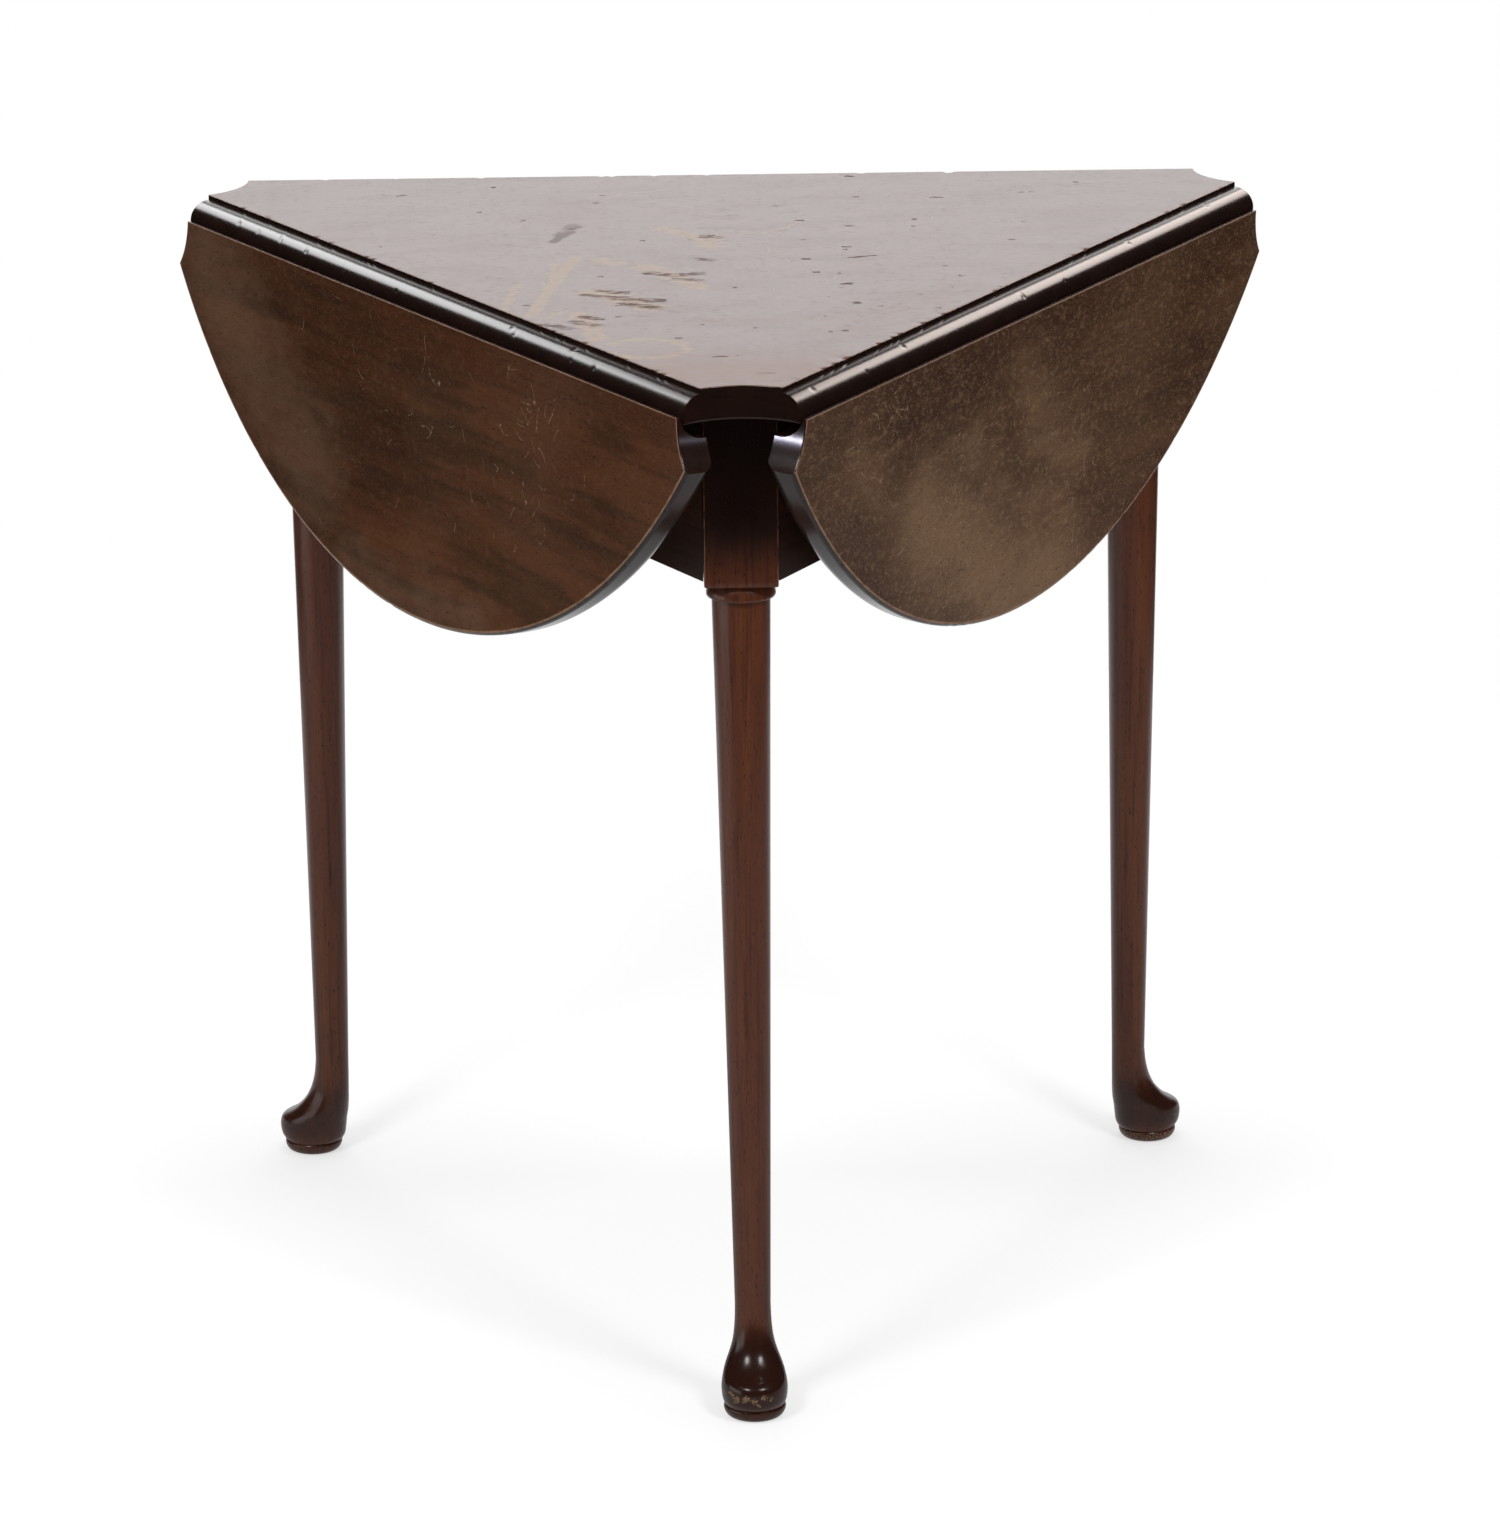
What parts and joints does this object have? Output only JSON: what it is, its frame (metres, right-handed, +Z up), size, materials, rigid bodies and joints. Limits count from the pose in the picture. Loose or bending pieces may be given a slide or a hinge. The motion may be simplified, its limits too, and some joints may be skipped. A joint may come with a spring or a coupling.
{
  "type": "triangular drop-leaf table",
  "caption": "Three-cornered drop-leaf table with D-shaped leaves on rule joints, a turning top, a triangular apron and tapered round legs on pad feet.",
  "frame": {"origin": "on the floor, under the middle of the table's bounding box", "axes": "+Z up, -Y towards the front leg, +X along the back edge of the top, to the right as seen from the front"},
  "size_m": [0.7512, 0.6522, 0.7],
  "materials": {
    "mahogany_top": "dark red-brown mahogany, polished, worn",
    "mahogany_leaf": "dark mahogany, satin, scratched",
    "mahogany_leg": "reddish-brown mahogany, satin",
    "mahogany_rail": "dark mahogany, satin",
    "pine": "bare softwood",
    "hinge_brass": "old brass",
    "screw_brass": "old brass",
    "pin_steel": "drawn steel",
    "bolt_steel": "oiled steel",
    "nut_steel": "zinc-plated steel",
    "washer_steel": "zinc-plated steel"
  },
  "bodies": {
    "stand": {"leg_front": "mahogany_leg", "glue_block_front": "pine", "leg_right": "mahogany_leg", "glue_block_right": "pine", "leg_left": "mahogany_leg", "glue_block_left": "pine", "rail_back": "mahogany_rail", "rail_left": "mahogany_rail", "rail_right": "mahogany_rail", "pivot_bearer": "pine"},
    "top": {"top_board": "mahogany_top", "pivot_bolt": "bolt_steel", "pivot_washer": "washer_steel", "pivot_nut": "nut_steel", "hinge_top_flap_back_1": "hinge_brass", "hinge_pin_back_1": "pin_steel", "hinge_top_flap_back_2": "hinge_brass", "hinge_pin_back_2": "pin_steel", "top_flap_screw_back_1": "screw_brass", "top_flap_screw_back_2": "screw_brass", "top_flap_screw_back_3": "screw_brass", "top_flap_screw_back_4": "screw_brass", "hinge_top_flap_left_1": "hinge_brass", "hinge_pin_left_1": "pin_steel", "hinge_top_flap_left_2": "hinge_brass", "hinge_pin_left_2": "pin_steel", "top_flap_screw_left_1": "screw_brass", "top_flap_screw_left_2": "screw_brass", "top_flap_screw_left_3": "screw_brass", "top_flap_screw_left_4": "screw_brass", "hinge_top_flap_right_1": "hinge_brass", "hinge_pin_right_1": "pin_steel", "hinge_top_flap_right_2": "hinge_brass", "hinge_pin_right_2": "pin_steel", "top_flap_screw_right_1": "screw_brass", "top_flap_screw_right_2": "screw_brass", "top_flap_screw_right_3": "screw_brass", "top_flap_screw_right_4": "screw_brass"},
    "leaf_back": {"leaf_board_back": "mahogany_leaf", "hinge_leaf_flap_back_1": "hinge_brass", "hinge_leaf_flap_back_2": "hinge_brass", "leaf_flap_screw_back_1": "screw_brass", "leaf_flap_screw_back_2": "screw_brass", "leaf_flap_screw_back_3": "screw_brass", "leaf_flap_screw_back_4": "screw_brass"},
    "leaf_left": {"leaf_board_left": "mahogany_leaf", "hinge_leaf_flap_left_1": "hinge_brass", "hinge_leaf_flap_left_2": "hinge_brass", "leaf_flap_screw_left_1": "screw_brass", "leaf_flap_screw_left_2": "screw_brass", "leaf_flap_screw_left_3": "screw_brass", "leaf_flap_screw_left_4": "screw_brass"},
    "leaf_right": {"leaf_board_right": "mahogany_leaf", "hinge_leaf_flap_right_1": "hinge_brass", "hinge_leaf_flap_right_2": "hinge_brass", "leaf_flap_screw_right_1": "screw_brass", "leaf_flap_screw_right_2": "screw_brass", "leaf_flap_screw_right_3": "screw_brass", "leaf_flap_screw_right_4": "screw_brass"}
  },
  "joints": [
    {"name": "top_swivel", "type": "hinge", "parent": "stand", "child": "top", "pos_m": [0.00166, 0.08923, 0.6785], "axis": [0, 0, 1], "range_deg": [-2, 2]},
    {"name": "leaf_hinge_back", "type": "hinge", "parent": "top", "child": "leaf_back", "pos_m": [0.00166, 0.30923, 0.683], "axis": [1, 0, 0], "range_deg": [0, 94.2]},
    {"name": "leaf_hinge_left", "type": "hinge", "parent": "top", "child": "leaf_left", "pos_m": [-0.18886, -0.02077, 0.683], "axis": [-0.5, 0.866, 0], "range_deg": [-6.8, 87.4]},
    {"name": "leaf_hinge_right", "type": "hinge", "parent": "top", "child": "leaf_right", "pos_m": [0.19219, -0.02077, 0.683], "axis": [-0.5, -0.866, 0], "range_deg": [0, 94.2]}
  ]
}
